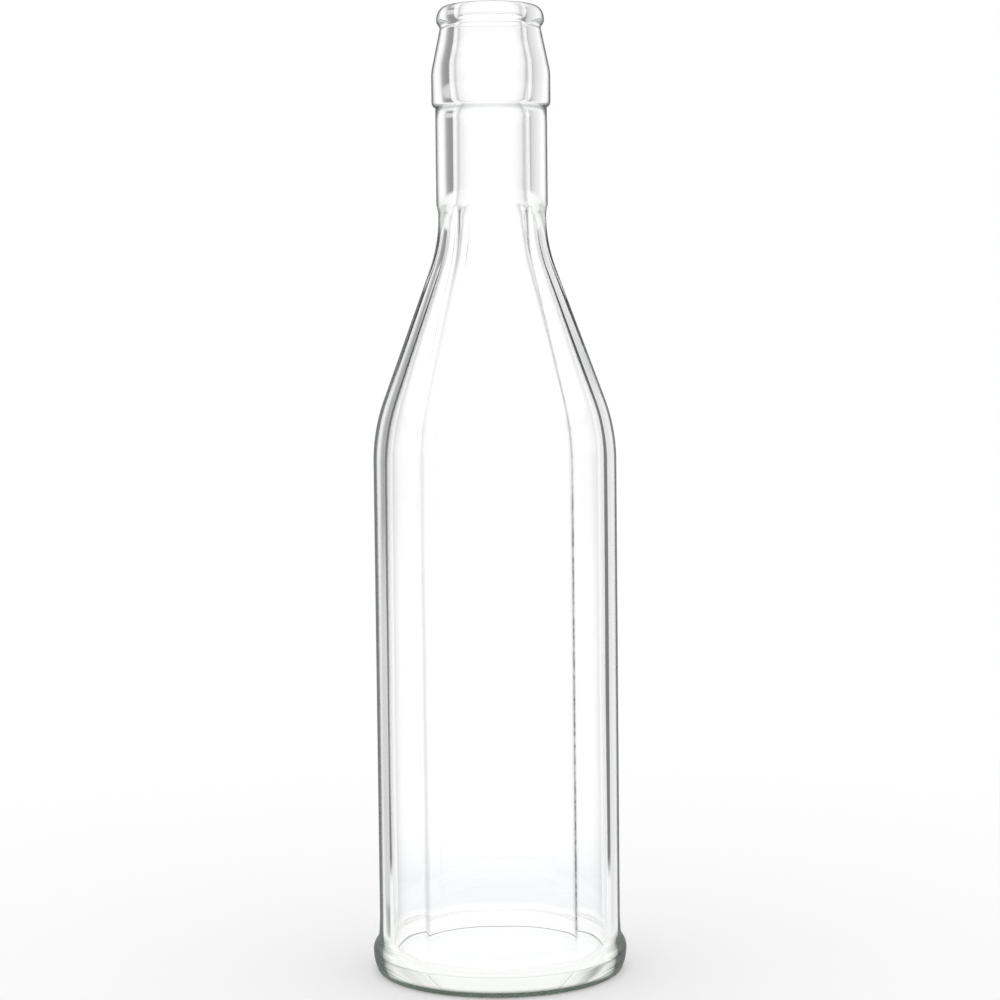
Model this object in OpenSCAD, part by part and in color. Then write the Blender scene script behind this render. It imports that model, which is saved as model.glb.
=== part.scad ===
// Panelled glass soda bottle, open at the mouth, in millimetres.
// +Z runs up the bottle's axis. The origin is the centre of the ring that it stands on.
// The glass is drawn as the zones that a bottle maker names, stacked face to face from
// the bottom: base, heel, body, shoulder, neck, collar and lip. One cavity runs through all.

/* [Overall] */
// Height from the standing ring to the top of the lip
bottle_h = 240; // [235:1:250]
// Width of the body across two opposite panels
body_w = 60.5; // [58:0.5:63]
// Number of panels around the body
panel_count = 10; // [10:2:14]
// How far a body panel's turning axis stands behind the bottle's own: 0 is a round body
panel_setback = 13; // [10:1:16]
// Thickness of the glass in the body and shoulder
wall_t = 2.15; // [1.8:0.05:2.6]

/* [Lip] */
// Diameter of the lip, which a crown cork grips
lip_d = 26.6; // [26.2:0.1:26.9]
// Height of the lip
lip_h = 5.4; // [5:0.1:6]
// Diameter of the throat just under the lip
throat_d = 24.9; // [24.5:0.1:25.4]
// Diameter of the mouth
mouth_d = 17.8; // [16.5:0.1:18.2]

/* [Collar] */
// Diameter of the collar's straight band
collar_d = 29.4; // [29:0.1:30.5]
// Height of the collar, from the neck to the lip
collar_h = 19.2; // [18:0.2:21]
// Height of the collar's straight band
collar_band_h = 7.2; // [6:0.2:9]
// Inside diameter at the collar's widest
collar_bore_d = 20.6; // [19.4:0.2:21]

/* [Neck] */
// Diameter of the round neck
neck_d = 27.6; // [27.2:0.1:28.2]
// Height of the round neck
neck_h = 23; // [20:1:26]
// Inside diameter of the neck
neck_bore_d = 19; // [18:0.2:19.4]

/* [Shoulder] */
// Slope of the shoulder from upright, in degrees
shoulder_slope = 20.2; // [18:0.2:23]
// Radius of the shoulder's turn into the body
shoulder_r = 45; // [35:1:55]
// Radius of the sweep from the neck into the shoulder
sweep_r = 38; // [30:1:45]
// Depth of the panels where they start in the neck
panel_cut = 0.45; // [0.4:0.05:0.6]
// Radius of the panels' scooped upper ends
scoop_r = 9; // [6:1:12]

/* [Heel and base] */
// Diameter of the heel bead
heel_d = 63.8; // [63.2:0.1:65]
// Height of the bead's widest line, where the bottom plate of the mould ends
bead_z = 5.3; // [5.3:0.1:6]
// Radius of the bead above its widest line
bead_r = 3.2; // [2.6:0.2:3.6]
// Radius of the hollow between the bead and the panels
bead_fillet_r = 5; // [4:0.5:6]
// Inside radius between the wall and the floor
floor_fillet_r = 3; // [2:0.5:8]
// Height of the floor where it meets that radius
floor_z = 3.8; // [3.4:0.1:3.9]
// Rise of the floor to its middle
floor_rise = 1.3; // [0.4:0.1:1.4]
// Inner diameter of the standing ring
ring_in_d = 54.4; // [50:0.2:56]
// Rise of the underside, from the standing ring to its middle
push_up = 1.4; // [1:0.1:2]

/* [Hidden] */
$fn = 128;
glass = "#dde6e3";

// Steps along an arc, along a slow blend, and across each panel of the shoulder
arc_steps = 6;
panel_steps = 8;
blend_steps = 12;
// How far a cutting shape runs past what it cuts
past = 1;

body_r = body_w / 2;
bore_r = body_r - wall_t;
neck_r = neck_d / 2;
neck_bore_r = neck_bore_d / 2;
mouth_r = mouth_d / 2;

// Levels where the zones meet
lip_z = bottle_h - lip_h;
collar_z = lip_z - collar_h;
neck_z = collar_z - neck_h;

// Panels: narrowest at the waist, and scooped out into the round neck above it
neck_land = 1;
scoop_h = sqrt(2 * scoop_r * panel_cut - panel_cut * panel_cut);
waist_r = neck_r - panel_cut;
waist_z = neck_z - neck_land - scoop_h;
panel_angle = 360 / panel_count;
// Inside, the sweep stops this many degrees short of the waist and flares up into the neck
flare_short = 8;
flare_h = 5;

// Shoulder: an arc, a straight slope and an arc, down from the waist
turn_in = shoulder_r * (1 - cos(shoulder_slope));
sweep_in = sweep_r * (1 - cos(shoulder_slope));
slope_h = (body_r - waist_r - turn_in - sweep_in) / tan(shoulder_slope);
shoulder_z = waist_z - (shoulder_r + sweep_r) * sin(shoulder_slope) - slope_h;

// Heel: a bead, and a fillet that runs just inside the panels so that it cuts them cleanly
heel_r = heel_d / 2;
bead_under_r = 12;
ring_corner_r = 1.2;
fillet_bite = 0.15;
fillet_x = body_r - fillet_bite + bead_fillet_r;
bead_x = heel_r - bead_r;
fillet_turn = acos((fillet_x - bead_x) / (bead_r + bead_fillet_r));
fillet_z = bead_z + (bead_r + bead_fillet_r) * sin(fillet_turn);
heel_top_z = fillet_z + past;

// Underside: the corner outside the standing ring
under_x = heel_r - bead_under_r;
corner_turn = asin((bead_z - ring_corner_r) / (bead_under_r - ring_corner_r));
corner_x = under_x + (bead_under_r - ring_corner_r) * cos(corner_turn);

// Lip: half an oval outside, a small round into the mouth
lip_r = lip_d / 2;
throat_r = throat_d / 2;
lip_wide_z = lip_z + 2.1;
lip_round = 2.4;
lip_under = 1.9;
rim_round = 1.2;

// Collar: a flare, a soft turn, a straight band and a rounded step to the neck
collar_r = collar_d / 2;
collar_step_h = 1.4;
collar_turn_h = 2.4;
band_z = collar_z + collar_step_h + collar_band_h;

// Points on an oval arc about [x, z], from angle a0 to angle a1
function oval(x, z, rx, rz, a0, a1, n = arc_steps) =
    [for (k = [0 : n]) let (a = a0 + (a1 - a0) * k / n) [x + rx * cos(a), z + rz * sin(a)]];

// Points on a blend that is upright at both ends
function ease(p, q, n = blend_steps) =
    [for (k = [0 : n]) [p.x + (q.x - p.x) * (1 - cos(180 * k / n)) / 2, p.y + (q.y - p.y) * k / n]];

// Points on a parabola that leaves p upright and leans over to q
function lean(p, q, n = arc_steps) =
    [for (k = [0 : n]) [p.x + (q.x - p.x) * pow(k / n, 2), p.y + (q.y - p.y) * k / n]];

// Points on a blend that leaves p with a lean towards the axis and is upright at q
function flare(p, lean, q, n = blend_steps) = [for (k = [0 : n])
    let (t = k / n)
    [p.x + (q.x - p.x) * t * t * (3 - 2 * t) - lean * (q.y - p.y) * t * pow(1 - t, 2),
        p.y + (q.y - p.y) * t]];

// Half outline of the shoulder, a distance in from its panels, from the body to an angle
// short of the waist
function shoulder_side(inset, short = 0) = concat(
    oval(body_r - shoulder_r, shoulder_z, shoulder_r - inset, shoulder_r - inset, 0, shoulder_slope),
    oval(waist_r + sweep_r, waist_z, sweep_r + inset, sweep_r + inset, 180 + shoulder_slope, 180 + short));

// Half outline of the scooped ends of the panels, from just over the waist to the neck's start
function scoop_side() = let (
    top = asin((neck_z - waist_z) / scoop_r),
    step = top / arc_steps)
    oval(waist_r + scoop_r, waist_z, scoop_r, scoop_r, 180 - step, 180 - top, arc_steps - 1);

// Distance from the bottle's axis to a panel, turned by an angle from the panel's middle. Each
// panel is round about an axis of its own that is set back from the bottle's, so the panel is
// gently crowned and meets its neighbours in a soft ridge. The set-back grows as the shoulder
// narrows, so the panels flatten and their ridges sharpen towards the waist.
function panel_r(mid, turn) = let (back = panel_setback * body_r / mid)
    sqrt(pow(mid + back, 2) - pow(back * sin(turn), 2)) - back * cos(turn);

function floor_side() = let (edge = bore_r - floor_fillet_r) [for (k = [0 : blend_steps])
    [edge * k / blend_steps, floor_z + floor_rise * (1 + cos(180 * k / blend_steps)) / 2]];

// Half outline of the air inside the shoulder, which flares out of the neck's bore
function shoulder_cavity_side() = let (
    side = shoulder_side(wall_t, flare_short),
    foot = side[len(side) - 1])
    concat(side, flare(foot, tan(flare_short), [neck_bore_r, neck_z + flare_h]));

// Half outline of the air inside, from the middle of the floor to above the mouth
function cavity_side() = concat(
    floor_side(),
    oval(bore_r - floor_fillet_r, floor_z + floor_fillet_r, floor_fillet_r, floor_fillet_r, -90, 0),
    shoulder_cavity_side(),
    ease([neck_bore_r, collar_z - 3], [collar_bore_d / 2, collar_z + 8]),
    ease([collar_bore_d / 2, collar_z + 8], [mouth_r, lip_z]),
    oval(mouth_r + rim_round, bottle_h - rim_round, rim_round, rim_round, 180, 90),
    [[mouth_r + rim_round, bottle_h + past], [0, bottle_h + past]]);

module cavity() {
    rotate_extrude() polygon(cavity_side());
}

// Straight solid with all the panels round it
module panelled(bottom, top) {
    intersection_for(i = [0 : panel_count - 1])
        rotate([0, 0, i * panel_angle])
            translate([-panel_setback, 0, bottom])
                cylinder(r = body_r + panel_setback, h = top - bottom);
}

// Lower half of the heel bead, the standing ring, the pushed-up underside and the floor
module base() {
    ring_in = ring_in_d / 2;
    underside = [for (k = [0 : blend_steps])
        [ring_in * k / blend_steps, push_up * (1 + cos(180 * k / blend_steps)) / 2]];
    color(glass)
        difference() {
            rotate_extrude()
                polygon(concat(
                    underside,
                    oval(corner_x, ring_corner_r, ring_corner_r, ring_corner_r, -90, -corner_turn),
                    oval(under_x, bead_z, bead_under_r, bead_under_r, -corner_turn, 0),
                    [[0, bead_z]]));
            cavity();
        }
}

// Upper half of the bead and its fillet, with the feet of the panels standing in it
module heel() {
    bead = concat(
        oval(bead_x, bead_z, bead_r, bead_r, 0, fillet_turn),
        oval(fillet_x, fillet_z, bead_fillet_r, bead_fillet_r, 180 + fillet_turn, 180));
    color(glass)
        difference() {
            union() {
                rotate_extrude() polygon(concat([[0, bead_z]], bead, [[0, fillet_z]]));
                panelled(bead_z + past, heel_top_z);
            }
            cavity();
        }
}

// Straight panelled body
module body() {
    color(glass)
        difference() {
            panelled(heel_top_z, shoulder_z);
            cavity();
        }
}

// Shoulder: the panels sweep in to the waist, then scoop out and die into the round neck.
// Its skin is lofted through rings of points, one ring for each point of the panels' outline.
module shoulder() {
    side = concat(shoulder_side(0), scoop_side());
    around = panel_count * panel_steps;
    last = len(side) - 1;
    points = [for (p = side) for (j = [0 : around - 1])
        let (
            turn = panel_angle * (j % panel_steps / panel_steps - 0.5),
            skin = panel_r(p.x, turn),
            r = p.y > waist_z ? min(skin, neck_r) : skin,
            angle = panel_angle * (j / panel_steps - 0.5))
        [r * cos(angle), r * sin(angle), p.y]];
    skin_faces = [for (k = [0 : last - 1]) for (j = [0 : around - 1]) for (half = [0, 1])
        let (
            a = k * around + j,
            b = k * around + (j + 1) % around)
        half == 0 ? [a, a + around, b + around] : [a, b + around, b]];
    end_faces = [
        [for (j = [0 : around - 1]) j],
        [for (j = [around - 1 : -1 : 0]) last * around + j]];
    color(glass)
        difference() {
            polyhedron(points, concat(skin_faces, end_faces));
            cavity();
        }
}

// Round neck
module neck() {
    color(glass)
        difference() {
            translate([0, 0, neck_z]) cylinder(r = neck_r, h = neck_h);
            cavity();
        }
}

// Collar: the ring below the lip that the bottle is carried by in the works
module collar() {
    flare = (collar_r - throat_r) / (lip_z - band_z);
    turn_top = [collar_r - flare * collar_turn_h / 2, band_z + collar_turn_h / 2];
    outline = concat(
        [[0, collar_z]],
        oval(neck_r, collar_z + collar_step_h, collar_r - neck_r, collar_step_h, -90, 0),
        lean([collar_r, band_z - collar_turn_h / 2], turn_top),
        [[throat_r, lip_z], [0, lip_z]]);
    color(glass)
        difference() {
            rotate_extrude() polygon(outline);
            cavity();
        }
}

// Lip: the bead that a crown cork closes on, with the sealing face on top
module lip() {
    outline = concat(
        [[0, lip_z], [throat_r, lip_z]],
        oval(lip_r - lip_under, lip_wide_z, lip_under, lip_under, -50, 0),
        oval(lip_r - lip_round, lip_wide_z, lip_round, bottle_h - lip_wide_z, 0, 90),
        [[0, bottle_h]]);
    color(glass)
        difference() {
            rotate_extrude() polygon(outline);
            cavity();
        }
}

base();
heel();
body();
shoulder();
neck();
collar();
lip();
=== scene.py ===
import math

import bpy
from bpy.props import FloatProperty, FloatVectorProperty, IntProperty, PointerProperty
from mathutils import Matrix, Vector


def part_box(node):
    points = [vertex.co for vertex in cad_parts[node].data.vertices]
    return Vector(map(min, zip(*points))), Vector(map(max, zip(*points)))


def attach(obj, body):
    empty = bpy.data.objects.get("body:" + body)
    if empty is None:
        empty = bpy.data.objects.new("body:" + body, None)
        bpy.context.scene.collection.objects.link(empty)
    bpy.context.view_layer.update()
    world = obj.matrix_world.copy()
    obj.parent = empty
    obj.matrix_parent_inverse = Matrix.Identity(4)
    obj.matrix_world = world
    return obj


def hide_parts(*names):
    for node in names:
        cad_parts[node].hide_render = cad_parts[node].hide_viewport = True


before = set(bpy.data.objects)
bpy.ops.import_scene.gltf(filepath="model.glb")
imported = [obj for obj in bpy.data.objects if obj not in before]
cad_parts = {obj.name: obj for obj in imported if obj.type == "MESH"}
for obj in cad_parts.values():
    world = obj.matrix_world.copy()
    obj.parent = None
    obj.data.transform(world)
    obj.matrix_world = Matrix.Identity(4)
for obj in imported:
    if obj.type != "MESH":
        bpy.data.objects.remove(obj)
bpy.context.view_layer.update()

bl_info = {
    "name": "Panelled Soda Bottle",
    "version": (1, 0, 0),
    "blender": (4, 5, 0),
    "location": "View3D > Sidebar > Bottle",
    "description": "Blown flint-glass soda bottle with crowned panels, and a plain studio round it",
    "category": "Add Mesh",
}

ZONES = ("base", "heel", "body", "shoulder", "neck", "collar", "lip")
TOP = {zone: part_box(zone)[1][2] for zone in ZONES}
WIDTH = {zone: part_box(zone)[1][0] * 2 for zone in ZONES}
MM = 0.001

# Angles round the bottle, in degrees: the way the lens looks, and the ridge where the mould opens
BEHIND = 88.8
SEAM_AT = -54.0
MOULD_HALVES = 2
# The lens and its sensor in millimetres, and the camera's tip down, pan and roll in degrees
LENS = 88.2
SENSOR = 36.0
TILT = 3.85
PAN = 0.11
ROLL = -0.62
# The mesh: columns in half a panel, how much they crowd to its ridge, and rows up the body and wall
COLUMNS = 16
CROWDING = 1.7
BODY_ROWS = 44
WALL_ROWS = 8
# Reach of the soft meeting of heel and panels, and of the scoops and the neck
HEEL_BLEND = 0.9 * MM
SCOOP_BLEND = 0.05 * MM
# Flat sides of the white wall that stands round the bottle
WALL_SIDES = 8
WHITE = (1, 1, 1, 1)
# Unevenness that the blowing leaves: its share, waves round, radians to a metre up, and start
WAVES = ((0.45, 2, 31, 0.7), (0.30, 3, -52, 2.1), (0.15, 5, 117, 4.0), (0.10, 9, -203, 1.3))


# ---- Sizes and colours ----------------------------------------------------------------------

def linear(colour):
    """Linear values of an sRGB hex colour"""
    parts = [int(colour[i:i + 2], 16) / 255 for i in (1, 3, 5)]
    return [c / 12.92 if c <= 0.04045 else ((c + 0.055) / 1.055) ** 2.4 for c in parts] + [1.0]


def length(name, description, default_mm):
    return FloatProperty(
        name=name, description=description, default=default_mm * MM,
        unit="LENGTH", subtype="DISTANCE", precision=5)


class BottleFinish(bpy.types.PropertyGroup):
    """Lip, collar and neck"""
    throat_d: length("Throat", "Diameter of the throat just under the lip", 24.9)
    mouth_d: length("Mouth", "Diameter of the mouth", 17.8)
    rim_round: length("Rim round", "Radius of the round into the mouth", 1.2)
    lip_round: length("Lip round", "How far in the lip's upper oval reaches", 2.4)
    lip_under: length("Lip underside", "Radius of the lip's underside", 1.9)
    lip_wide: length("Lip widest", "Height of the lip's widest line over its foot", 2.1)
    band_h: length("Band", "Height of the collar's straight band", 7.2)
    step_h: length("Step", "Height of the rounded step from the neck to the collar", 1.4)
    turn_h: length("Turn", "Height of the soft turn from the band into the flare", 2.4)
    collar_bore_d: length("Collar bore", "Inside diameter at the collar's widest", 20.6)
    neck_bore_d: length("Neck bore", "Inside diameter of the neck", 19.0)


class BottleBody(bpy.types.PropertyGroup):
    """Panels, shoulder and wall"""
    panel_count: IntProperty(name="Panels", description="Number of panels", default=10)
    setback: length("Setback", "How far a panel's own axis stands behind the bottle's", 13.0)
    wall: length("Wall", "Thickness of the glass in the body and shoulder", 2.15)
    slope: FloatProperty(
        name="Slope", description="Slope of the shoulder from upright",
        default=math.radians(20.2), subtype="ANGLE")
    shoulder_r: length("Shoulder radius", "Radius of the shoulder's turn into the body", 45.0)
    sweep_r: length("Sweep radius", "Radius of the sweep from the neck to the shoulder", 38.0)
    panel_cut: length("Panel depth", "Depth of the panels where they start in the neck", 0.45)
    scoop_r: length("Scoop radius", "Radius of the panels' scooped upper ends", 9.0)
    neck_land: length("Neck land", "Plain neck between the scoops and the neck's start", 1.0)
    flare_h: length("Flare", "Height over the neck's start at which the inside flares out", 5.0)
    flare_short: FloatProperty(
        name="Flare's foot",
        description="Angle short of the waist where the flare meets the shoulder",
        default=math.radians(8), subtype="ANGLE")
    ridge_soft: length("Ridge softness", "How far fire polish blunts each ridge", 0.07)
    seam_h: length("Seam height", "Height of the mould seam over its ridge", 0.07)
    seam_w: length("Seam width", "Half the width of the mould seam", 0.16)
    wave: length("Inner wave", "Unevenness of the inside, which the blowing leaves", 0.1)


class BottleBase(bpy.types.PropertyGroup):
    """Heel and underside"""
    bead_r: length("Bead", "Radius of the heel bead above its widest line", 3.2)
    fillet_r: length("Hollow", "Radius of the hollow between the bead and the panels", 5.0)
    fillet_bite: length("Hollow's bite", "How far the hollow ends inside the panels", 0.15)
    under_r: length("Heel underside", "Radius of the glass below the bead", 12.0)
    corner_r: length("Ring corner", "Radius of the standing ring's outer corner", 1.2)
    ring_in_d: length("Ring", "Inner diameter of the standing ring", 54.4)
    push_up: length("Push-up", "Rise of the underside to its middle", 1.4)
    floor_z: length("Floor", "Height of the floor at its edge", 3.8)
    floor_rise: length("Floor rise", "Rise of the floor to its middle", 1.3)
    floor_fillet: length("Floor fillet", "Inside radius between wall and floor", 3.0)


class Studio(bpy.types.PropertyGroup):
    """Floor and camera"""
    floor_colour: FloatVectorProperty(
        name="Floor", description="Colour of the floor", subtype="COLOR", size=3,
        default=linear("#e7e7e7")[:3], min=0, max=1)
    camera_far: length("Camera distance", "Level distance from the bottle's axis", 610.5)
    camera_up: length("Camera height", "Height of the lens above the floor", 159.2)


# ---- Materials ------------------------------------------------------------------------------

def add(tree, kind, settings=None, stops=(), curve="EASE", **links):
    """Adds a node to a tree, with its settings, a ramp's stops and what feeds its sockets.

    A stop is a place and a linear colour or grey. A link is named for its socket, or i0, i1 and so
    on by the socket's number.
    """
    node = tree.nodes.new(kind)
    for key, value in (settings or {}).items():
        if isinstance(key, str) and hasattr(node, key):
            setattr(node, key, value)
        else:
            node.inputs[key].default_value = value
    if stops:
        node.color_ramp.interpolation = curve
    for k, (place, shade) in enumerate(stops):
        elements = node.color_ramp.elements
        element = elements[k] if k < 2 else elements.new(place)
        element.position = place
        element.color = shade if isinstance(shade, list) else (shade, shade, shade, 1.0)
    for key, source in links.items():
        by_number = key[0] == "i" and key[1:].isdigit()
        tree.links.new(source, node.inputs[int(key[1:]) if by_number else key])
    return node


def empty_material(name):
    material = bpy.data.materials.new(name)
    material.use_nodes = True
    material.node_tree.nodes.clear()
    return material


def angle_round(tree, axes):
    """Angle round the upright axis"""
    return add(tree, "ShaderNodeMath", {"operation": "ARCTAN2"},
               i0=axes.outputs["Y"], i1=axes.outputs["X"]).outputs[0]


def part_of_turn(tree, angle, middle, parts):
    """Where an angle lies in one of the equal parts of a turn, 0.5 being its middle"""
    scaled = add(tree, "ShaderNodeMath", {
        "operation": "MULTIPLY_ADD",
        1: parts / (2 * math.pi),
        2: parts + 0.5 - middle * parts / 360,
    }, i0=angle)
    return add(tree, "ShaderNodeMath", {"operation": "FRACT"}, i0=scaled.outputs[0]).outputs[0]


def upright_lines(tree, angle, away, count, reach):
    """1 on evenly spaced upright lines that start from the mould seam, fading out within a reach"""
    place = part_of_turn(tree, angle, SEAM_AT, count)
    off = add(tree, "ShaderNodeMath", {"operation": "SUBTRACT", 1: 0.5}, i0=place)
    size = add(tree, "ShaderNodeMath", {"operation": "ABSOLUTE"}, i0=off.outputs[0])
    span = add(tree, "ShaderNodeMath", {"operation": "MULTIPLY"}, i0=size.outputs[0], i1=away)
    return add(tree, "ShaderNodeMapRange", {
        "interpolation_type": "SMOOTHSTEP",
        "From Min": reach * count / (2 * math.pi),
        "From Max": 0.0,
    }, i0=span.outputs[0]).outputs[0]


def painted_edge_shade(tree, facing, height):
    """Painted shade where the wall turns edge on, broader where glass gathers in heel and shoulder
    """
    gather = add(tree, "ShaderNodeValToRGB", i0=height, stops=[
        (0.0, 0.14), (0.03, 0.24), (0.055, 0.0), (0.56, 0.0), (0.64, 0.15), (0.765, 0.15),
        (0.785, 0.03)])
    turned_off = add(tree, "ShaderNodeMath", {"operation": "ADD"}, i0=facing, i1=gather.outputs[0])
    return add(tree, "ShaderNodeValToRGB", i0=turned_off.outputs[0], curve="LINEAR", stops=[
        (0.0, 1.0), (0.69, 1.0), (0.79, linear("#a9aeac")), (0.84, linear("#2a302e")),
        (1.0, linear("#1e2321"))]).outputs[0]


def ridge_painted_shade(tree, angle, away, height, facing, panels):
    """Painted shade along the ridges, except where they are seen square on.

    A fine line darkens up the shoulder, and a broad grey runs up the body to a dark tip at the
    waist.
    """
    aside = add(tree, "ShaderNodeMapRange", {"From Min": 0.04, "From Max": 0.16}, i0=facing)
    fine = [(0.0, 0.0), (0.05, 0.06), (0.6, 0.08), (0.70, 0.4), (0.785, 0.9), (0.80, 0.0)]
    broad = [(0.0, 0.0), (0.045, 0.0), (0.07, 0.40), (0.35, 0.40), (0.5, 0.32), (0.7, 0.30),
             (0.745, 0.35), (0.775, 0.96), (0.790, 0.96), (0.797, 0.0)]
    painted_shade = []
    for reach, stops in ((0.55 * MM, fine), (1.3 * MM, broad)):
        line = upright_lines(tree, angle, away, panels, reach)
        seen = add(tree, "ShaderNodeMath", {"operation": "MULTIPLY"}, i0=line, i1=aside.outputs[0])
        depth = add(tree, "ShaderNodeValToRGB", i0=height, stops=stops)
        painted_shade.append(add(tree, "ShaderNodeMath", {"operation": "MULTIPLY"},
                         i0=seen.outputs[0], i1=depth.outputs[0]).outputs[0])
    return add(tree, "ShaderNodeMath", {"operation": "MAXIMUM"},
               i0=painted_shade[0], i1=painted_shade[1]).outputs[0]


def seam_painted_shade(tree, where, angle, away, height):
    """Fine line of painted shade along the mould seam, broken up by a grain.

    The grain has 900 cells to a metre, about a millimetre each, because the mould's own is too fine
    to show.
    """
    grain = add(tree, "ShaderNodeTexNoise", {"Scale": 900.0, "Detail": 1.0}, Vector=where)
    rough = add(tree, "ShaderNodeMapRange", {"From Min": 0.35, "From Max": 0.6, "To Min": 0.7},
                i0=grain.outputs[0])
    depth = add(tree, "ShaderNodeValToRGB", i0=height, stops=[
        (0.0, 0.0), (0.045, 0.0), (0.065, 1.0), (0.48, 1.0), (0.53, 0.6), (0.70, 0.6), (0.75, 0.3)])
    line = add(tree, "ShaderNodeMath", {"operation": "MULTIPLY"},
               i0=upright_lines(tree, angle, away, MOULD_HALVES, 0.7 * MM), i1=depth.outputs[0])
    return add(tree, "ShaderNodeMath", {"operation": "MULTIPLY"},
               i0=line.outputs[0], i1=rough.outputs[0]).outputs[0]


def ring_painted_shade(tree, z, facing, level, reach, full, stops):
    """Painted shade round the bottle at a level: full near it, gone beyond a reach, darker edge on
    """
    off = add(tree, "ShaderNodeMath", {"operation": "SUBTRACT", 1: level}, i0=z)
    size = add(tree, "ShaderNodeMath", {"operation": "ABSOLUTE"}, i0=off.outputs[0])
    line = add(tree, "ShaderNodeMapRange", {
        "interpolation_type": "SMOOTHSTEP", "From Min": reach, "From Max": full},
        i0=size.outputs[0])
    depth = add(tree, "ShaderNodeValToRGB", i0=facing, stops=stops)
    return add(tree, "ShaderNodeMath", {"operation": "MULTIPLY"},
               i0=line.outputs[0], i1=depth.outputs[0]).outputs[0]


def flint_glass(panels):
    """Soda-lime flint glass, blow-moulded and fire-polished.

    It gives the eye a nearly colourless body, with painted shade for the dark lines where the wall
    turns edge on, the soft grey ridges with dark tips at the waist and the fine dark line along
    the mould seam, and a dark grey-green edge at the foot. A pale glow is painted in where light
    has been turned back on itself many times over, full in the base, faint in the body and
    stronger again in the neck.
    """
    material = empty_material("soda_lime_flint_glass_blow_moulded")
    tree = material.node_tree
    path = add(tree, "ShaderNodeLightPath")
    where = add(tree, "ShaderNodeTexCoord").outputs["Object"]
    axes = add(tree, "ShaderNodeSeparateXYZ", i0=where)
    z = axes.outputs["Z"]
    height = add(tree, "ShaderNodeMath", {"operation": "DIVIDE", 1: TOP["lip"]}, i0=z).outputs[0]
    angle = angle_round(tree, axes)
    level = add(tree, "ShaderNodeVectorMath", {"operation": "MULTIPLY", 1: (1, 1, 0)}, i0=where)
    away = add(tree, "ShaderNodeVectorMath", {"operation": "LENGTH"},
               i0=level.outputs[0]).outputs["Value"]
    facing = add(tree, "ShaderNodeLayerWeight", {"Blend": 0.5}).outputs["Facing"]
    # Painted shade on the joint between the mould's bottom plate and its halves, round the
    # fullest part of the heel
    plate = ring_painted_shade(tree, z, facing, TOP["base"], 0.3 * MM, 0.0, [
        (0.0, 0.30), (0.1, 0.36), (0.45, 0.85), (1.0, 0.9)])
    # Painted shade under the collar's step
    step = ring_painted_shade(tree, z, facing, TOP["neck"] - 0.7 * MM, 0.7 * MM, 0.1 * MM, [
        (0.0, 0.12), (0.15, 0.2), (0.5, 0.6), (1.0, 0.7)])
    rings = add(tree, "ShaderNodeMath", {"operation": "MAXIMUM"}, i0=plate, i1=step)
    lines = add(tree, "ShaderNodeMath", {"operation": "MAXIMUM"},
                i0=rings.outputs[0], i1=seam_painted_shade(tree, where, angle, away, height))
    # Painted shade of the ridges, seam and ring lines, dark grey over the painted edge shade
    painted_shade = add(tree, "ShaderNodeMath", {"operation": "MAXIMUM"},
                i0=ridge_painted_shade(tree, angle, away, height, facing, panels), i1=lines.outputs[0])
    painted_shade_colour = add(tree, "ShaderNodeMix", {"data_type": "RGBA", 7: linear("#20262a")},
                i0=painted_shade.outputs[0], i6=painted_edge_shade(tree, facing, height))
    # The standing ring's outer edge, dark grey-green up to about 2 mm over the floor
    rim = add(tree, "ShaderNodeMapRange", {"From Min": 27.5 * MM, "From Max": 28.5 * MM}, i0=away)
    foot = add(tree, "ShaderNodeMapRange", {"From Min": 2.3 * MM, "From Max": 1.4 * MM}, i0=z)
    foot_edge = add(tree, "ShaderNodeMath", {"operation": "MULTIPLY"},
               i0=rim.outputs[0], i1=foot.outputs[0])
    ringed = add(tree, "ShaderNodeMix", {"data_type": "RGBA", 7: linear("#232d26")},
                 i0=foot_edge.outputs[0], i6=painted_shade_colour.outputs[2])
    # Only the skin met first carries the painted shade, so that the far wall shows clear through it
    first = add(tree, "ShaderNodeMath", {"operation": "LESS_THAN", 1: 0.5},
                i0=path.outputs["Transmission Depth"])
    tint = add(tree, "ShaderNodeMix", {"data_type": "RGBA", 6: WHITE},
               i0=first.outputs[0], i7=ringed.outputs[2])
    # Painted glow, as emission, where light has been turned back more than three times
    deep = add(tree, "ShaderNodeMath", {"operation": "GREATER_THAN", 1: 3.5},
               i0=path.outputs["Glossy Depth"])
    fill = add(tree, "ShaderNodeValToRGB", i0=height, stops=[
        (0.0, 0.6), (0.09, 0.6), (0.12, 0.12), (0.56, 0.12), (0.64, 0.05), (0.745, 0.05),
        (0.785, 0.32), (0.80, 0.45), (0.90, 0.45), (0.955, 0.30), (1.0, 0.25)])
    painted_glow = add(tree, "ShaderNodeMath", {"operation": "MULTIPLY"},
               i0=deep.outputs[0], i1=fill.outputs[0])
    glass = add(tree, "ShaderNodeBsdfPrincipled", {
        "Roughness": 0.0,
        "IOR": 1.52,
        "Transmission Weight": 1.0,
        # Colour of the painted glow
        "Emission Color": linear("#eceeeb"),
    })
    tree.links.new(tint.outputs[2], glass.inputs["Base Color"])
    tree.links.new(painted_glow.outputs[0], glass.inputs["Emission Strength"])
    material.cycles.emission_sampling = "NONE"
    depth = add(tree, "ShaderNodeVolumeAbsorption", {"Color": linear("#c8d8c4"), "Density": 3.0})
    out = add(tree, "ShaderNodeOutputMaterial")
    tree.links.new(glass.outputs["BSDF"], out.inputs["Surface"])
    tree.links.new(depth.outputs["Volume"], out.inputs["Volume"])
    return material


def by_glass(tree):
    """Light path of a ray, and 1 where it comes by way of gloss or glass"""
    path = add(tree, "ShaderNodeLightPath")
    glass = add(tree, "ShaderNodeMath", {"operation": "MAXIMUM"},
                i0=path.outputs["Is Glossy Ray"], i1=path.outputs["Is Transmission Ray"])
    return path, glass.outputs[0]


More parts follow.
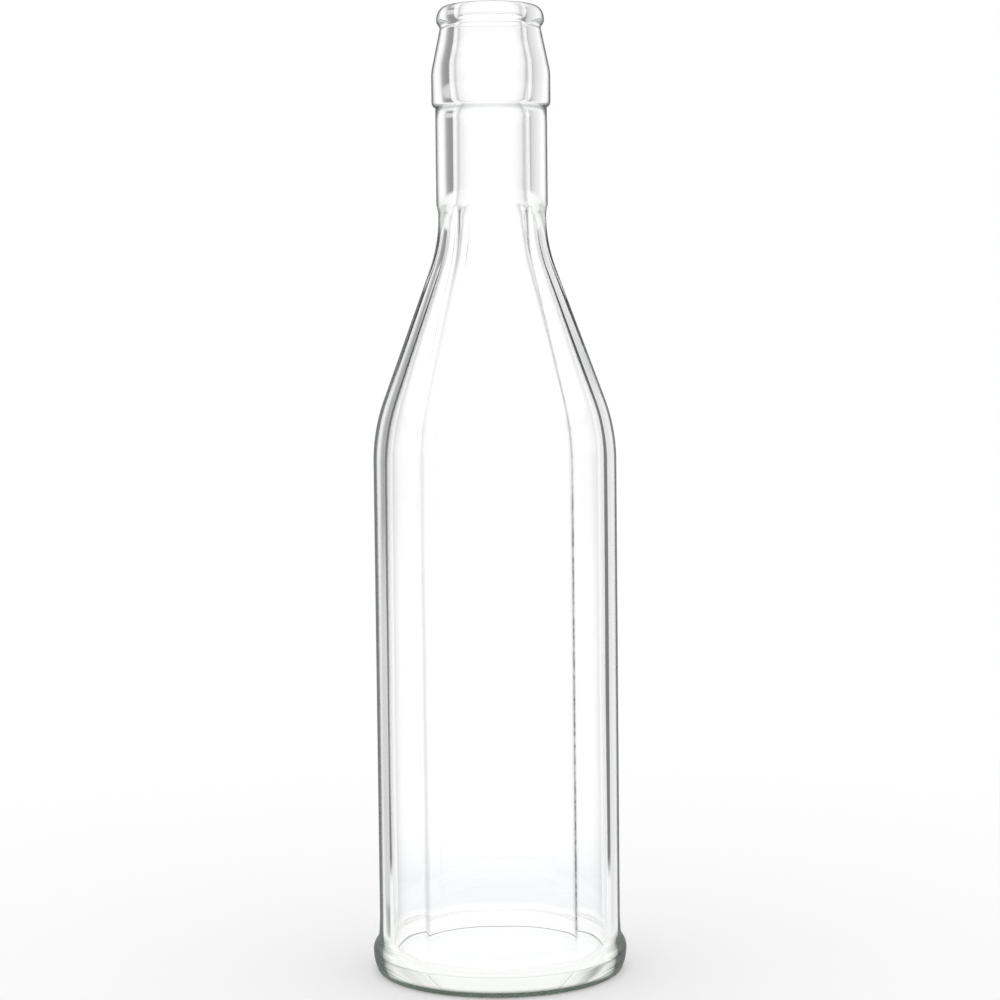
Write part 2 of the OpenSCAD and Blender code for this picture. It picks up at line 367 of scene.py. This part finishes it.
def studio_paper(colour):
    """Matt coated paper sweep, lit from below.

    It gives the eye a plain white page, with the bottle's soft shadow near the foot. Gloss and
    glass look through it to the surround, which glows as evenly.
    """
    material = empty_material("matt_paper_sweep")
    tree = material.node_tree
    path, glass = by_glass(tree)
    where = add(tree, "ShaderNodeTexCoord")
    away = add(tree, "ShaderNodeVectorMath", {"operation": "LENGTH"}, i0=where.outputs["Object"])
    far = add(tree, "ShaderNodeMapRange", {
        "interpolation_type": "SMOOTHSTEP", "From Min": 80 * MM, "From Max": 350 * MM},
        i0=away.outputs["Value"])
    paper = add(tree, "ShaderNodeBsdfDiffuse", {"Color": list(colour) + [1.0]})
    fill = add(tree, "ShaderNodeMath", {"operation": "MULTIPLY", 1: 0.26},
               i0=path.outputs["Is Camera Ray"])
    lit = add(tree, "ShaderNodeEmission", {"Color": WHITE}, Strength=fill.outputs[0])
    near = add(tree, "ShaderNodeAddShader", i0=paper.outputs[0], i1=lit.outputs[0])
    white = add(tree, "ShaderNodeEmission", {"Color": WHITE, "Strength": 1.0})
    share = add(tree, "ShaderNodeMath", {"operation": "MULTIPLY"},
                i0=far.outputs[0], i1=path.outputs["Is Camera Ray"])
    sweep = add(tree, "ShaderNodeMixShader",
                i0=share.outputs[0], i1=near.outputs[0], i2=white.outputs[0])
    clear = add(tree, "ShaderNodeBsdfTransparent")
    final = add(tree, "ShaderNodeMixShader", i0=glass, i1=sweep.outputs[0], i2=clear.outputs[0])
    out = add(tree, "ShaderNodeOutputMaterial")
    tree.links.new(final.outputs[0], out.inputs["Surface"])
    return material


# ---- Outlines -------------------------------------------------------------------------------

def arc(x, z, rx, rz, start, end, steps):
    """Points along an oval arc about x, z, between two angles in degrees"""
    points = []
    for k in range(steps + 1):
        a = math.radians(start + (end - start) * k / steps)
        points.append((x + rx * math.cos(a), z + rz * math.sin(a)))
    return points


def ease(p, q, steps):
    """Points on a blend that is upright at both ends"""
    points = []
    for k in range(steps + 1):
        t = k / steps
        points.append((
            p[0] + (q[0] - p[0]) * (1 - math.cos(math.pi * t)) / 2,
            p[1] + (q[1] - p[1]) * t))
    return points


def lean(p, q, steps):
    """Points on a parabola that leaves p upright and leans over to q"""
    return [(p[0] + (q[0] - p[0]) * (k / steps) ** 2, p[1] + (q[1] - p[1]) * k / steps)
            for k in range(steps + 1)]


def rise(p, q, steps):
    """Points on a straight line"""
    return [(p[0] + (q[0] - p[0]) * k / steps, p[1] + (q[1] - p[1]) * k / steps)
            for k in range(steps + 1)]


def flare(p, lean_in, q, steps):
    """Points on a blend that leaves p with a lean towards the axis and is upright at q"""
    points = []
    for k in range(steps + 1):
        t, rise_h = k / steps, q[1] - p[1]
        points.append((
            p[0] + (q[0] - p[0]) * t * t * (3 - 2 * t) - lean_in * rise_h * t * (1 - t) ** 2,
            p[1] + rise_h * t))
    return points


def crown(radius, height, steps):
    """Points on a low dome from its middle out to radius"""
    return [(radius * k / steps, height * (1 + math.cos(math.pi * k / steps)) / 2)
            for k in range(steps + 1)]


def soft_min(a, b, reach):
    """Lower of two sizes, blended where they are within reach of each other"""
    h = max(reach - abs(a - b), 0) / reach
    return min(a, b) - h * h * reach / 4


def soft_max(a, b, reach):
    """Higher of two sizes, blended where they are within reach of each other"""
    return -soft_min(-a, -b, reach)


class Shape:
    """Levels and radii that the outlines share, worked out from the sizes and the frame"""

    def __init__(self, finish, body, base):
        self.finish, self.body, self.base = finish, body, base
        self.body_r = WIDTH["body"] / 2
        self.bore_r = self.body_r - body.wall
        self.neck_r = WIDTH["neck"] / 2
        self.lip_r = WIDTH["lip"] / 2
        self.collar_r = WIDTH["collar"] / 2
        self.heel_r = WIDTH["heel"] / 2
        self.turn = 2 * math.pi / body.panel_count
        # Shoulder and waist
        self.waist_r = self.neck_r - body.panel_cut
        scoop_h = math.sqrt(2 * body.scoop_r * body.panel_cut - body.panel_cut ** 2)
        self.waist_z = TOP["shoulder"] - body.neck_land - scoop_h
        self.shoulder_z = TOP["body"]
        # Heel
        self.bead_z = TOP["base"]
        self.fillet_x = self.body_r - base.fillet_bite + base.fillet_r
        self.bead_x = self.heel_r - base.bead_r
        reach = base.bead_r + base.fillet_r
        self.fillet_turn = math.acos((self.fillet_x - self.bead_x) / reach)
        self.fillet_z = self.bead_z + reach * math.sin(self.fillet_turn)
        self.under_x = self.heel_r - base.under_r
        span = base.under_r - base.corner_r
        self.corner_turn = math.asin((self.bead_z - base.corner_r) / span)
        self.corner_x = self.under_x + span * math.cos(self.corner_turn)

    def shoulder_side(self, inset, steps, short=0.0):
        """Outline of the shoulder, an inset from its panels, from the body to near the waist"""
        body, slope = self.body, math.degrees(self.body.slope)
        lower = arc(self.body_r - body.shoulder_r, self.shoulder_z,
                    body.shoulder_r - inset, body.shoulder_r - inset, 0, slope, steps)
        upper = arc(self.waist_r + body.sweep_r, self.waist_z,
                    body.sweep_r + inset, body.sweep_r + inset, 180 + slope, 180 + short, steps)
        return lower + rise(lower[-1], upper[0], steps)[1:-1] + upper

    def panel_r(self, mid, turn):
        """Distance from the axis to a panel, turned by an angle from its middle.

        The set-back grows as the shoulder narrows, so the ridges sharpen towards the waist.
        """
        back = self.body.setback * self.body_r / mid
        return math.sqrt((mid + back) ** 2 - (back * math.sin(turn)) ** 2) - back * math.cos(turn)

    def panelled(self, mid, angle):
        """Panel skin at an angle round the bottle, with its ridges blunted"""
        turn = (angle + self.turn / 2) % self.turn - self.turn / 2
        other = turn - math.copysign(self.turn, turn)
        return soft_min(self.panel_r(mid, turn), self.panel_r(mid, other), self.body.ridge_soft)

    def seam(self, angle, radius, height):
        """Height of the mould seam, which stands on two opposite ridges where the mould opens.

        It dies out over 6 mm at its foot and 3 mm at its head, and rises and falls in uneven waves
        of about 6, 15 and 22 mm.
        """
        opening = math.radians(SEAM_AT)
        off = abs((angle - opening + math.pi / 2) % math.pi - math.pi / 2) * radius
        if off > 4 * self.body.seam_w:
            return 0.0
        short_wave = 0.3 * math.sin(1100 * height) * math.sin(433 * height + 1)
        rough = 1 + short_wave + 0.2 * math.sin(290 * height)
        foot = min(max((height - self.fillet_z) / (6 * MM), 0), 1)
        head = min(max((TOP["shoulder"] - height) / (3 * MM), 0), 1)
        return self.body.seam_h * foot * head * rough * math.exp(-(off / self.body.seam_w) ** 2)


def underside(s):
    """Outer outline from the middle of the underside to the bead's widest line"""
    base = s.base
    ring_in = base.ring_in_d / 2
    dome = crown(ring_in, base.push_up, 10)
    stand = rise((ring_in, 0), (s.corner_x, 0), 2)[1:-1]
    corner = arc(s.corner_x, base.corner_r, base.corner_r, base.corner_r,
                 -90, -math.degrees(s.corner_turn), 6)
    side = arc(s.under_x, s.bead_z, base.under_r, base.under_r, -math.degrees(s.corner_turn), 0, 8)
    return dome + stand + corner + side[1:]


def heel_rows(s):
    """Heights up the heel, with the bead's radius at each"""
    base = s.base
    bead = arc(s.bead_x, s.bead_z, base.bead_r, base.bead_r, 0, math.degrees(s.fillet_turn), 8)
    hollow = arc(s.fillet_x, s.fillet_z, base.fillet_r, base.fillet_r,
                 180 + math.degrees(s.fillet_turn), 180, 12)
    return bead[1:] + hollow[1:]


def finish_outline(s):
    """Outer outline from the neck's start to the top of the lip"""
    f = s.finish
    neck_top, collar_top, top = TOP["neck"], TOP["collar"], TOP["lip"]
    throat = f.throat_d / 2
    band_z = neck_top + f.step_h + f.band_h
    taper = (s.collar_r - throat) / (collar_top - band_z)
    turn_top = (s.collar_r - taper * f.turn_h / 2, band_z + f.turn_h / 2)
    wide_z = collar_top + f.lip_wide
    neck = rise((s.neck_r, TOP["shoulder"]), (s.neck_r, neck_top), 6)
    step = arc(s.neck_r, neck_top + f.step_h, s.collar_r - s.neck_r, f.step_h, -90, 0, 9)
    band = rise(step[-1], (s.collar_r, band_z - f.turn_h / 2), 4)
    turn = lean(band[-1], turn_top, 6)
    slope = rise(turn_top, (throat, collar_top), 6)
    under = arc(s.lip_r - f.lip_under, wide_z, f.lip_under, f.lip_under, -50, 0, 7)
    over = arc(s.lip_r - f.lip_round, wide_z, f.lip_round, top - wide_z, 0, 90, 14)
    return neck[1:] + step + band[1:] + turn[1:] + slope[1:] + under + over[1:]


def inside_outline(s):
    """Outline of the air inside, from the rim of the mouth down to the middle of the floor.

    The bore is widest 8 mm over the collar's foot, and comes down to the neck's 3 mm under it.
    """
    f, body, base = s.finish, s.body, s.base
    top, mouth = TOP["lip"], f.mouth_d / 2
    neck_bore, collar_bore = f.neck_bore_d / 2, f.collar_bore_d / 2
    neck_top, collar_top = TOP["neck"], TOP["collar"]
    rim = arc(mouth + f.rim_round, top - f.rim_round, f.rim_round, f.rim_round, 90, 180, 7)
    widest = (collar_bore, neck_top + 8 * MM)
    throat = ease((mouth, collar_top), widest, 10)
    bore = ease(widest, (neck_bore, neck_top - 3 * MM), 8)
    side = s.shoulder_side(body.wall, 9, math.degrees(body.flare_short))
    flare_top = (neck_bore, TOP["shoulder"] + body.flare_h)
    neck = flare(side[-1], math.tan(body.flare_short), flare_top, 12)
    shoulder = list(reversed(side + neck[1:]))
    edge = s.bore_r - base.floor_fillet
    fillet_z = base.floor_z + base.floor_fillet
    wall = rise((s.bore_r, s.shoulder_z), (s.bore_r, fillet_z), WALL_ROWS)
    fillet = arc(edge, fillet_z, base.floor_fillet, base.floor_fillet, 0, -90, 12)
    dome = [(r, base.floor_z + z) for r, z in reversed(crown(edge, base.floor_rise, 8))]
    return rim + throat + bore[1:] + shoulder + wall[1:] + fillet[1:] + dome[1:]


# ---- Bottle mesh ----------------------------------------------------------------------------

def column_angles(s):
    """Angles of the mesh's columns: close together at the ridges, wider over the panels"""
    offsets = [s.turn / 2 * (k / COLUMNS) ** CROWDING for k in range(COLUMNS + 1)]
    angles = []
    for i in range(s.body.panel_count):
        ridge = (i + 0.5) * s.turn
        angles += [ridge + a for a in offsets[:-1]]
        angles += [ridge + s.turn - a for a in offsets[:0:-1]]
    return angles


def ring(height, angles, radius_at):
    """Ring of points at a height, with the radius that a function gives for each angle"""
    points = []
    for a in angles:
        radius = radius_at(a)
        points.append((radius * math.cos(a), radius * math.sin(a), height))
    return points


def outer_rings(s, angles):
    """Rings of points up the outside, from the underside to the top of the lip"""
    body = s.body
    rings = [ring(z, angles, lambda a: r) for r, z in underside(s)[1:]]
    for bead_r, z in heel_rows(s):
        rings.append(ring(z, angles, lambda a: (
            soft_max(bead_r, s.panelled(s.body_r, a), HEEL_BLEND))))
    wall = rise((s.body_r, s.fillet_z), (s.body_r, s.shoulder_z), BODY_ROWS)
    for mid, z in wall[1:] + s.shoulder_side(0, 17)[1:]:
        rings.append(ring(z, angles, lambda a: s.panelled(mid, a) + s.seam(a, mid, z)))
    top = math.degrees(math.asin((TOP["shoulder"] - s.waist_z) / body.scoop_r))
    scoop = arc(s.waist_r + body.scoop_r, s.waist_z, body.scoop_r, body.scoop_r, 180, 180 - top, 18)
    for mid, z in scoop[1:]:
        rings.append(ring(z, angles, lambda a: (
            soft_min(s.panelled(mid, a), s.neck_r, SCOOP_BLEND) + s.seam(a, mid, z))))
    return rings + [ring(z, angles, lambda a: r) for r, z in finish_outline(s)]


def inner_rings(s, angles):
    """Rings of points down the inside, gently uneven as blown glass is.

    The waves die out over 20 mm above the floor and over 30 mm below the collar.
    """
    rings = []
    for r, z in inside_outline(s)[:-1]:
        up = min(max((z - s.base.floor_z) / (20 * MM), 0), 1)
        down = min(max((TOP["neck"] - z) / (30 * MM), 0), 1)
        size = s.body.wave * up * down
        rings.append(ring(z, angles, lambda a: r + size * sum(
            share * math.sin(count * a + climb * z + start)
            for share, count, climb, start in WAVES)))
    return rings


def bottle_mesh(name, s):
    """One closed skin: up the outside, over the lip and down the inside"""
    angles = column_angles(s)
    rings = outer_rings(s, angles) + inner_rings(s, angles)
    count = len(angles)
    under_z, floor_z = underside(s)[0][1], inside_outline(s)[-1][1]
    points = [(0, 0, under_z)] + [p for each in rings for p in each] + [(0, 0, floor_z)]
    last = len(points) - 1
    faces = []
    for j in range(count):
        faces.append((0, 1 + (j + 1) % count, 1 + j))
    for k in range(len(rings) - 1):
        low = 1 + k * count
        for j in range(count):
            n = (j + 1) % count
            faces.append((low + j, low + n, low + count + n, low + count + j))
    low = 1 + (len(rings) - 1) * count
    for j in range(count):
        faces.append((low + j, low + (j + 1) % count, last))
    mesh = bpy.data.meshes.new(name)
    mesh.from_pydata(points, [], faces)
    mesh.validate()
    mesh.shade_smooth()
    return mesh


class BOTTLE_OT_camera(bpy.types.Operator):
    """Set the camera at eye level in front of the bottle"""
    bl_idname = "bottle.camera"
    bl_label = "Camera"

    def execute(self, context):
        studio = context.scene.studio
        camera = bpy.data.cameras.new("camera")
        camera.sensor_width = SENSOR
        camera.lens = LENS
        camera.clip_start = 0.01
        camera.clip_end = 20
        holder = bpy.data.objects.new("camera", camera)
        round_axis = math.radians(BEHIND - 180)
        place = Vector((
            studio.camera_far * math.cos(round_axis),
            studio.camera_far * math.sin(round_axis),
            studio.camera_up))
        turn = (Matrix.Rotation(math.radians(BEHIND - PAN - 90), 4, "Z")
                @ Matrix.Rotation(math.radians(90 - TILT), 4, "X")
                @ Matrix.Rotation(math.radians(ROLL), 4, "Z"))
        holder.matrix_world = Matrix.Translation(place) @ turn
        context.scene.collection.objects.link(holder)
        context.scene.camera = holder
        return {"FINISHED"}


class BOTTLE_OT_bottle(bpy.types.Operator):
    """Make the bottle as one seamless skin of glass"""
    bl_idname = "bottle.bottle"
    bl_label = "Bottle"

    def execute(self, context):
        scene = context.scene
        shape = Shape(scene.bottle_finish, scene.bottle_body, scene.bottle_base)
        piece = bpy.data.objects.new("glass_bottle", bottle_mesh("glass_bottle", shape))
        piece.data.materials.append(flint_glass(shape.body.panel_count))
        scene.collection.objects.link(piece)
        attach(piece, "root")
        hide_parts(*ZONES)
        return {"FINISHED"}


class BOTTLE_OT_studio(bpy.types.Operator):
    """Set the paper floor, the soft light and the white surround"""
    bl_idname = "bottle.studio"
    bl_label = "Studio"

    def execute(self, context):
        scene = context.scene
        studio = scene.studio
        # Six metres across, and a hair under the standing ring so that the two share no plane
        half = 3.0
        low = -0.05 * MM
        corners = [(-half, -half, low), (half, -half, low), (half, half, low), (-half, half, low)]
        mesh = bpy.data.meshes.new("floor")
        mesh.from_pydata(corners, [], [(0, 1, 2, 3)])
        floor = bpy.data.objects.new("floor", mesh)
        mesh.materials.append(studio_paper(studio.floor_colour))
        scene.collection.objects.link(floor)
        surround(scene)
        scene.view_settings.view_transform = "Standard"
        return {"FINISHED"}


def surround(scene):
    """White wall behind the bottle, in a darker room that only gloss and glass pick up"""
    world = bpy.data.worlds.new("surround")
    world.use_nodes = True
    scene.world = world
    tree = world.node_tree
    tree.nodes.clear()
    path, glass = by_glass(tree)
    where = add(tree, "ShaderNodeTexCoord")
    axes = add(tree, "ShaderNodeSeparateXYZ", i0=where.outputs["Generated"])
    angle = angle_round(tree, axes)
    # From straight down at 0 by eye level at 0.5 to straight up at 1
    level = add(tree, "ShaderNodeMath", {"operation": "MULTIPLY_ADD", 1: 0.5, 2: 0.5},
                i0=axes.outputs["Z"]).outputs[0]
    # Straight through the glass: white, falling off between the wall's sides and a little low down
    across = add(tree, "ShaderNodeValToRGB", i0=part_of_turn(tree, angle, BEHIND, WALL_SIDES),
                 curve="LINEAR", stops=[
                     (0.0, 0.55), (0.09, 0.82), (0.22, 0.93), (0.36, 1.0), (0.64, 1.0),
                     (0.78, 0.93), (0.91, 0.82), (1.0, 0.55)])
    down = add(tree, "ShaderNodeValToRGB", i0=level, stops=[
        (0.0, 0.94), (0.33, 0.94), (0.368, linear("#eef0f2")), (0.386, linear("#eef0f2")),
        (0.405, 1.0)])
    through = add(tree, "ShaderNodeVectorMath", {"operation": "MULTIPLY"},
                  i0=across.outputs[0], i1=down.outputs[0])
    # Turned back inside the wall: the white wall ends sooner to the left than to the right
    turned = add(tree, "ShaderNodeValToRGB", i0=part_of_turn(tree, angle, BEHIND, 1),
                 curve="LINEAR", stops=[
                     (0.0, 0.22), (0.306, 0.24), (0.333, 0.56), (0.383, 0.70), (0.439, 0.81),
                     (0.48, 0.97), (0.52, 1.0), (0.55, 0.90), (0.572, 0.78), (0.589, 0.56),
                     (0.603, 0.36), (0.64, 0.24), (1.0, 0.22)])
    # Below eye level the wall carries on round the sides, a little darker
    sides = add(tree, "ShaderNodeValToRGB", i0=level, stops=[
        (0.0, 0.0), (0.36, 0.0), (0.385, 0.58), (0.44, 0.58), (0.495, 0.0)])
    round_about = add(tree, "ShaderNodeMath", {"operation": "MAXIMUM"},
                      i0=turned.outputs[0], i1=sides.outputs[0])
    # Turned back many times, or well down to the paper or up to the ceiling: an even glow
    many = add(tree, "ShaderNodeMath", {"operation": "GREATER_THAN", 1: 2.5},
               i0=path.outputs["Glossy Depth"])
    low = add(tree, "ShaderNodeMapRange", {
        "interpolation_type": "SMOOTHSTEP", "From Min": 0.36, "From Max": 0.30}, i0=level)
    high = add(tree, "ShaderNodeMapRange", {
        "interpolation_type": "SMOOTHSTEP", "From Min": 0.63, "From Max": 0.67}, i0=level)
    ends = add(tree, "ShaderNodeMath", {"operation": "MAXIMUM"},
               i0=high.outputs[0], i1=low.outputs[0])
    even = add(tree, "ShaderNodeMath", {"operation": "MAXIMUM"},
               i0=many.outputs[0], i1=ends.outputs[0])
    inside = add(tree, "ShaderNodeMix", {"data_type": "RGBA", 7: linear("#eff0ef")},
                 i0=even.outputs[0], i6=round_about.outputs[0])
    # Gloss on the outside shows the room
    entered = add(tree, "ShaderNodeMath", {"operation": "GREATER_THAN", 1: 0.5},
                  i0=path.outputs["Transmission Depth"])
    gloss = add(tree, "ShaderNodeMix", {"data_type": "RGBA", 6: linear("#818484")},
                i0=entered.outputs[0], i7=inside.outputs[2])
    seen = add(tree, "ShaderNodeMix", {"data_type": "RGBA"},
               i0=path.outputs["Glossy Depth"], i6=through.outputs[0], i7=gloss.outputs[2])
    # Matt surfaces get soft light from all round, glass a wall a little brighter than the page
    light = add(tree, "ShaderNodeBackground", {"Color": WHITE, "Strength": 0.9})
    boxes = add(tree, "ShaderNodeBackground", {"Strength": 1.18}, Color=seen.outputs[2])
    white = add(tree, "ShaderNodeBackground", {"Color": WHITE, "Strength": 1.0})
    lit = add(tree, "ShaderNodeMixShader", i0=glass, i1=light.outputs[0], i2=boxes.outputs[0])
    final = add(tree, "ShaderNodeMixShader",
                i0=path.outputs["Is Camera Ray"], i1=lit.outputs[0], i2=white.outputs[0])
    out = add(tree, "ShaderNodeOutputWorld")
    tree.links.new(final.outputs[0], out.inputs["Surface"])


class BOTTLE_PT_panel(bpy.types.Panel):
    """Lists the bottle's sizes and the steps that make it"""
    bl_idname = "BOTTLE_PT_panel"
    bl_label = "Soda bottle"
    bl_space_type = "VIEW_3D"
    bl_region_type = "UI"
    bl_category = "Bottle"

    def draw(self, context):
        scene = context.scene
        for group in (scene.bottle_finish, scene.bottle_body, scene.bottle_base, scene.studio):
            box = self.layout.box()
            for name in group.bl_rna.properties.keys():
                if name not in ("rna_type", "name"):
                    box.prop(group, name)
        for step in STEPS:
            self.layout.operator(step.bl_idname)


STEPS = (BOTTLE_OT_camera, BOTTLE_OT_bottle, BOTTLE_OT_studio)
GROUPS = {
    "bottle_finish": BottleFinish,
    "bottle_body": BottleBody,
    "bottle_base": BottleBase,
    "studio": Studio,
}


def register():
    for name, group in GROUPS.items():
        bpy.utils.register_class(group)
        setattr(bpy.types.Scene, name, PointerProperty(type=group))
    for step in STEPS:
        bpy.utils.register_class(step)
    bpy.utils.register_class(BOTTLE_PT_panel)


def unregister():
    bpy.utils.unregister_class(BOTTLE_PT_panel)
    for step in reversed(STEPS):
        bpy.utils.unregister_class(step)
    for name, group in GROUPS.items():
        delattr(bpy.types.Scene, name)
        bpy.utils.unregister_class(group)


def main():
    register()
    bpy.ops.bottle.camera()
    bpy.ops.bottle.bottle()
    bpy.ops.bottle.studio()


if __name__ == "__main__":
    main()
